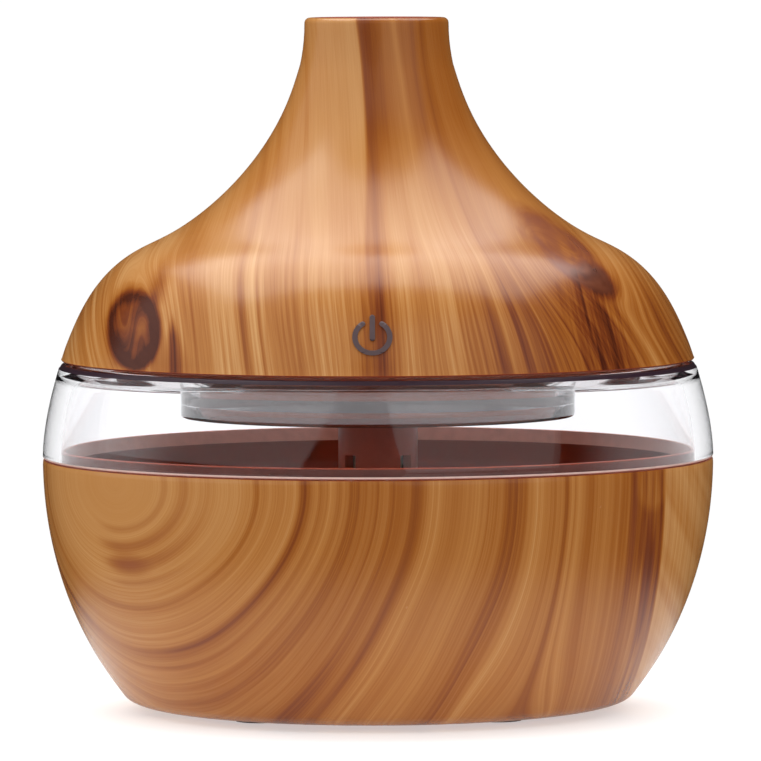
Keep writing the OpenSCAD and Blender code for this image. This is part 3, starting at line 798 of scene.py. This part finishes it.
finishes = {
    "brown": brown_plastic,
    "plug": moulded("plug_brown", rgb(200, 112, 80), 0.4),
    "tan": tan_plastic,
    "silicone": moulded("silicone", rgb(150, 138, 134), 0.5),
    "foot_rubber": moulded("foot_rubber", rgb(52, 48, 46), 0.7),
    "white": moulded("moulded_white", rgb(226, 225, 220), 0.4, 0.06),
    "black": moulded("moulded_black", rgb(26, 26, 27), 0.4),
    "lens": moulded("frosted_lens", rgb(225, 228, 230), 0.5, 0.05),
    "cotton": moulded("packed_cotton", rgb(232, 226, 212), 0.95, 0.2, 2.5),
    "ink": moulded("printed_ink", rgb(86, 66, 68), 0.45, 0.08),
    "steel": metal("plain_steel", rgb(190, 190, 192), 0.22),
    "copper": metal("coated_copper", rgb(200, 130, 80), 0.25),
    "can": metal("drawn_can", rgb(170, 172, 176), 0.28),
    "ceramic": moulded("silvered_ceramic", rgb(205, 198, 170), 0.35),
    "ferrite": moulded("ferrite", rgb(48, 46, 48), 0.6),
    "board_green": moulded("solder_mask_green", rgb(24, 92, 52), 0.3),
    "board_white": moulded("solder_mask_white", rgb(232, 232, 228), 0.35, 0.05),
    "lamp": moulded("lamp_body", rgb(236, 226, 170), 0.3, 0.1),
    "red": moulded("red_sleeve", rgb(170, 30, 26), 0.45),
    "pale": moulded("pale_sleeve", rgb(228, 226, 220), 0.45),
    "yellow": moulded("yellow_sleeve", rgb(220, 170, 40), 0.45),
}
print("finishes:", len(finishes))

# %% Which piece wears which finish
wearing = {
    "brown": ["wick_tube", "wick_tube_cap"],
    "plug": ["head_base"],
    "tan": ["mist_nozzle"],
    "silicone": ["neck_seal", "lower_gasket", "upper_gasket"],
    "foot_rubber": ["bowl_feet"],
    "white": ["wick_guide", "lead_connectors"],
    "black": ["control_chip", "usb_socket_tongue"],
    "lens": ["light_lens"],
    "cotton": ["cotton_wick"],
    "ink": ["power_mark"],
    "steel": ["wick_spring", "lamp_board_screws", "base_screws", "board_screws", "guide_screws",
              "usb_socket_shell", "atomizer_mesh"],
    "copper": ["touch_spring"],
    "can": ["capacitors"],
    "ceramic": ["atomizer_ring"],
    "ferrite": ["inductor"],
    "board_green": ["control_board", "touch_board"],
    "board_white": ["lamp_board"],
    "lamp": ["lamps"],
    "red": ["atomizer_leads"],
    "pale": ["lamp_leads"],
    "yellow": ["touch_leads"],
}
for finish, names in wearing.items():
    for name in names:
        nodes[name].data.materials.clear()
        nodes[name].data.materials.append(finishes[finish])
print("dressed", sum(len(names) for names in wearing.values()), "frame pieces")

# %% [markdown]
# ## The printed sign
# The power sign is a skin of ink on the cover. The print is a little flatter than it is wide, so
# a copy of the frame's sign is pressed together in height, and each point then slides back onto
# the cover by the difference in the cover's radius.

# %% Power sign
SIGN_KEEP = 0.89
SIGN_SHIFT = 0.35
sign_low, sign_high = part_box("power_mark")
sign_middle = (sign_low[2] + sign_high[2]) / 2 / MM
bm = bmesh.new()
bm.from_mesh(nodes["power_mark"].data)
for vert in bm.verts:
    x, z = vert.co.x / MM, vert.co.z / MM
    new_z = sign_middle + (z - sign_middle) * SIGN_KEEP + SIGN_SHIFT
    before, after = (math.sqrt(radius_at(cover_line, h) ** 2 - x ** 2) for h in (z, new_z))
    vert.co.z = new_z * MM
    vert.co.y -= (after - before) * MM
sign = finish_mesh(bm, "power_sign")
sign.data.materials.append(finishes["ink"])
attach(sign, "head")
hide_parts("power_mark")
print("sign height, mm:", round((sign_high[2] - sign_low[2]) / MM * SIGN_KEEP, 2))

# %% [markdown]
# ## The spring under the wick
# A coil is a small circle carried round and up at once, which is what a spin with a lift does.
# It gets shorter as the wick is pressed down; here it is made once, at the frame spring's length.

# %% Wick spring
spring_low, spring_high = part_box("wick_spring")
WIRE_R = 0.3
COIL_R = 3.6
TURNS = 5
TURN_STEPS = 32
CLEAR = 1.01
rise_by = spring_high[2] - spring_low[2] - 2 * CLEAR * WIRE_R * MM
upright = Matrix.Rotation(math.radians(90), 3, "X")
start = (COIL_R * MM, 0, spring_low[2] + CLEAR * WIRE_R * MM)
bm = bmesh.new()
bmesh.ops.create_circle(bm, segments=12, radius=WIRE_R * MM)
bmesh.ops.rotate(bm, verts=bm.verts, cent=(0, 0, 0), matrix=upright)
bmesh.ops.translate(bm, verts=bm.verts, vec=start)
steps = TURNS * TURN_STEPS
bmesh.ops.spin(bm, geom=bm.verts[:] + bm.edges[:], cent=(0, 0, 0), axis=(0, 0, 1),
               angle=TURNS * math.tau, steps=steps, dvec=(0, 0, rise_by / steps), use_merge=False)
bmesh.ops.holes_fill(bm, edges=[e for e in bm.edges if e.is_boundary], sides=0)
spring = finish_mesh(bm, "spring_under_wick")
spring.data.materials.append(finishes["steel"])
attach(spring, "wick_holder")
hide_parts("wick_spring")
height = (spring_high[2] - spring_low[2]) / MM
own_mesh(spring)
print("spring height, mm:", round(height, 2))

# %% [markdown]
# ## Studio
# A white set with two large soft boxes, one at each side of the camera, and a soft light above.

# %% Soft boxes
BOX_UP = 0.56
AIM_DOWN = 0.06
TOP_BACK, TOP_UP = 0.34, 0.9


def soft_box(name, azimuth, distance, width, height, up, watts):
    """An area light, in metres, at an azimuth from the camera's side, positive to the right."""
    data = bpy.data.lights.new(name, "AREA")
    data.shape = "RECTANGLE"
    data.size = width
    data.size_y = height
    data.energy = watts
    light = bpy.data.objects.new(name, data)
    bpy.context.scene.collection.objects.link(light)
    a = math.radians(azimuth)
    light.location = (math.sin(a) * distance, -math.cos(a) * distance, up)
    aim = light.location.copy()
    aim.z -= AIM_DOWN
    light.rotation_euler = aim.to_track_quat("Z", "Y").to_euler()
    light.visible_camera = False
    return light


soft_box("box_left", -68, 0.75, 1.85, 1.1, BOX_UP, 3.2)
soft_box("box_right", 36, 1.0, 1.25, 1.1, BOX_UP, 2.2)
top = soft_box("box_top", 180, TOP_BACK, 1.3, 0.96, TOP_UP, 11)
top.rotation_euler = (0, 0, 0)

# %% [markdown]
# A white world would fill every reflection and wash the colours out. So its strength depends on
# the kind of ray: it is white where it is looked at, straight or through the clear ring, faint
# for gloss, and a soft fill for light that has already bounced off a matt surface.

# %% World
CLEAR_GAIN = 1.28
FILL = 0.74
TANK_FILL = 2.2
GLOSS_FLOOR = 0.015
world = bpy.data.worlds.new("studio")
bpy.context.scene.world = world
world.use_nodes = True
sky = Field(world.node_tree, None)
seen = sky.node("ShaderNodeLightPath", out="Is Camera Ray")
through = sky.node("ShaderNodeLightPath", out="Is Transmission Ray")
bounced = sky.node("ShaderNodeLightPath", out="Diffuse Depth")
direction = sky.node("ShaderNodeTexCoord")
away, upward = (sky.node("ShaderNodeSeparateXYZ", None, {0: direction}, out=k) for k in (1, 2))
open_side = seen.math("MAXIMUM", away.rise(-0.3, 0.15), upward.rise(-0.065, -0.12))
backdrop = seen.math("MAXIMUM", seen, through * open_side * CLEAR_GAIN)
fill = bounced.rise(0, 1) * (through * TANK_FILL + FILL)
power = seen.math("MAXIMUM", backdrop, fill) + GLOSS_FLOOR
background = world.node_tree.nodes["Background"]
world.node_tree.links.new(power.socket, background.inputs["Strength"])
background.inputs["Color"].default_value = (1, 1, 1, 1)


# %% Floor
FLOOR_R = 0.6


def floor_finish():
    """A pale floor that fades into the white set away from the object."""
    s = Surface("studio_floor", roughness=0.9)
    s.shader.inputs["Base Color"].default_value = (0.94, 0.94, 0.94, 1)
    s.shader.inputs["Specular IOR Level"].default_value = 0
    s.shader.inputs["Emission Color"].default_value = (1, 1, 1, 1)
    s.shader.inputs["Emission Strength"].default_value = 0.3
    reach = (s.x * s.x + s.y * s.y) ** 0.5
    clear = s.x.node("ShaderNodeBsdfTransparent")
    return s.let_through(reach.rise(48, 120) * 0.75 + 0.25, clear)


bm = bmesh.new()
bmesh.ops.create_circle(bm, cap_ends=True, segments=96, radius=FLOOR_R)
floor = finish_mesh(bm, "studio_floor", smooth=False)
floor.data.materials.append(floor_finish())

# %% Picture settings
scene = bpy.context.scene
scene.view_settings.view_transform = "Standard"
scene.cycles.max_bounces = 16
scene.cycles.transmission_bounces = 14
print("bounces:", scene.cycles.max_bounces)
